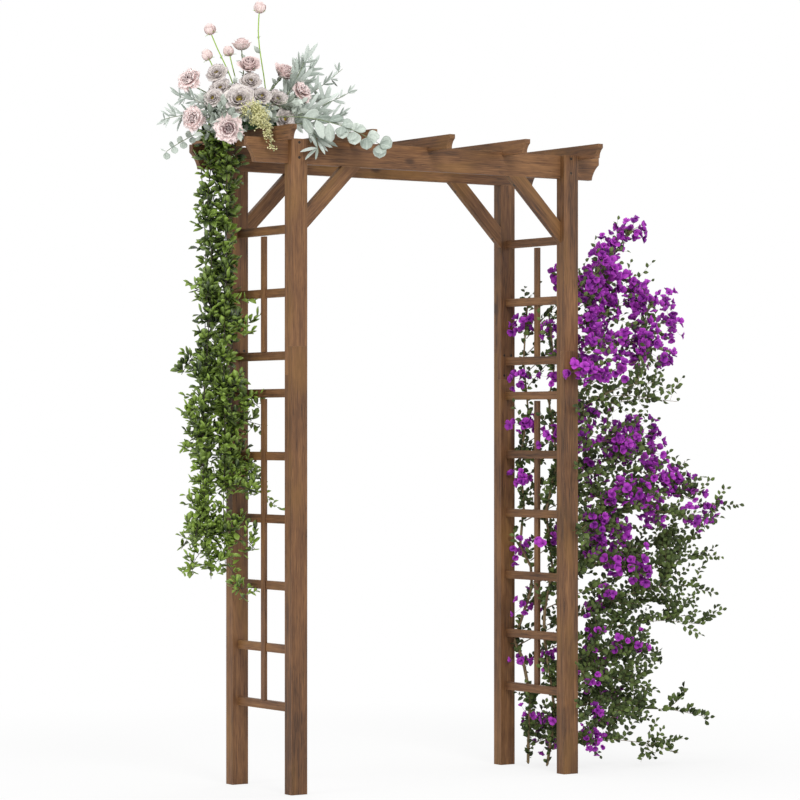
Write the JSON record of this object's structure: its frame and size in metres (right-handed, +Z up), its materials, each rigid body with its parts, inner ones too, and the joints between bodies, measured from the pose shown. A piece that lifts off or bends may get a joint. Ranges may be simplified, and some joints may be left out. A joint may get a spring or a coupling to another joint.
{
  "type": "wedding arch",
  "caption": "Dark stained garden wedding arch with ladder sides, shaped beams and rafters, a pale rose bouquet, a hanging leaf garland and a purple climber",
  "frame": {"origin": "on the ground, in the middle of the four posts' footprint", "axes": "+X along the walkway's width, from the ladder with the bouquet to the ladder with the climber; +Y along the depth of the walkway, away from the front; +Z up"},
  "size_m": [2.249, 0.6618, 2.5791],
  "materials": {
    "stained_wood": "satin dark walnut stain over softwood",
    "dark_screws": "dark coated steel",
    "floral_foam": "open foam in a dark green cage",
    "tie_plastic": "dark green plastic",
    "green_stems": "soft green plastic over wire",
    "dusty_rose_petals": "matt fabric petals",
    "pink_petals": "matt fabric petals with darker hearts",
    "pale_petals": "matt fabric petals, pale grey pink",
    "lime_seeds": "small pale lime seeds",
    "grey_green_leaves": "matt grey green leaves",
    "vine_wood": "brown bark-like plastic",
    "bright_green_leaves": "satin green leaves",
    "dark_green_leaves": "satin dark green leaves",
    "purple_bracts": "thin matt purple bracts"
  },
  "bodies": {
    "root": {"front_left_post_upper": "stained_wood", "front_left_post_lower": "stained_wood", "front_right_post_upper": "stained_wood", "front_right_post_lower": "stained_wood", "back_left_post_upper": "stained_wood", "back_left_post_lower": "stained_wood", "back_right_post_upper": "stained_wood", "back_right_post_lower": "stained_wood", "front_beam": "stained_wood", "back_beam": "stained_wood", "rafter_1": "stained_wood", "rafter_2": "stained_wood", "rafter_3": "stained_wood", "rafter_4": "stained_wood", "rafter_5": "stained_wood", "brace_front_left": "stained_wood", "brace_front_right": "stained_wood", "brace_back_left": "stained_wood", "brace_back_right": "stained_wood", "left_slat_1": "stained_wood", "left_slat_2": "stained_wood", "left_slat_3": "stained_wood", "left_slat_4": "stained_wood", "left_slat_5": "stained_wood", "left_slat_6": "stained_wood", "left_slat_7": "stained_wood", "left_slat_8": "stained_wood", "left_slat_9": "stained_wood", "right_slat_1": "stained_wood", "right_slat_2": "stained_wood", "right_slat_3": "stained_wood", "right_slat_4": "stained_wood", "right_slat_5": "stained_wood", "right_slat_6": "stained_wood", "right_slat_7": "stained_wood", "right_slat_8": "stained_wood", "right_slat_9": "stained_wood", "left_centre_slat_upper": "stained_wood", "left_centre_slat_lower": "stained_wood", "right_centre_slat_upper": "stained_wood", "right_centre_slat_lower": "stained_wood", "beam_screws": "dark_screws", "splice_screws": "dark_screws", "brace_screws": "dark_screws", "rafter_screws": "dark_screws", "bouquet_foam": "floral_foam", "bouquet_ties": "tie_plastic", "bouquet_stems": "green_stems", "bouquet_roses": "dusty_rose_petals", "bouquet_carnations": "pink_petals", "bouquet_pale_blooms": "pale_petals", "bouquet_buds": "dusty_rose_petals", "seed_spray": "lime_seeds", "round_eucalyptus": "grey_green_leaves", "long_leaves": "grey_green_leaves", "garland_stems": "vine_wood", "garland_leaves": "bright_green_leaves", "climber_stems": "vine_wood", "climber_leaves": "dark_green_leaves", "climber_bracts": "purple_bracts"}
  },
  "joints": []
}
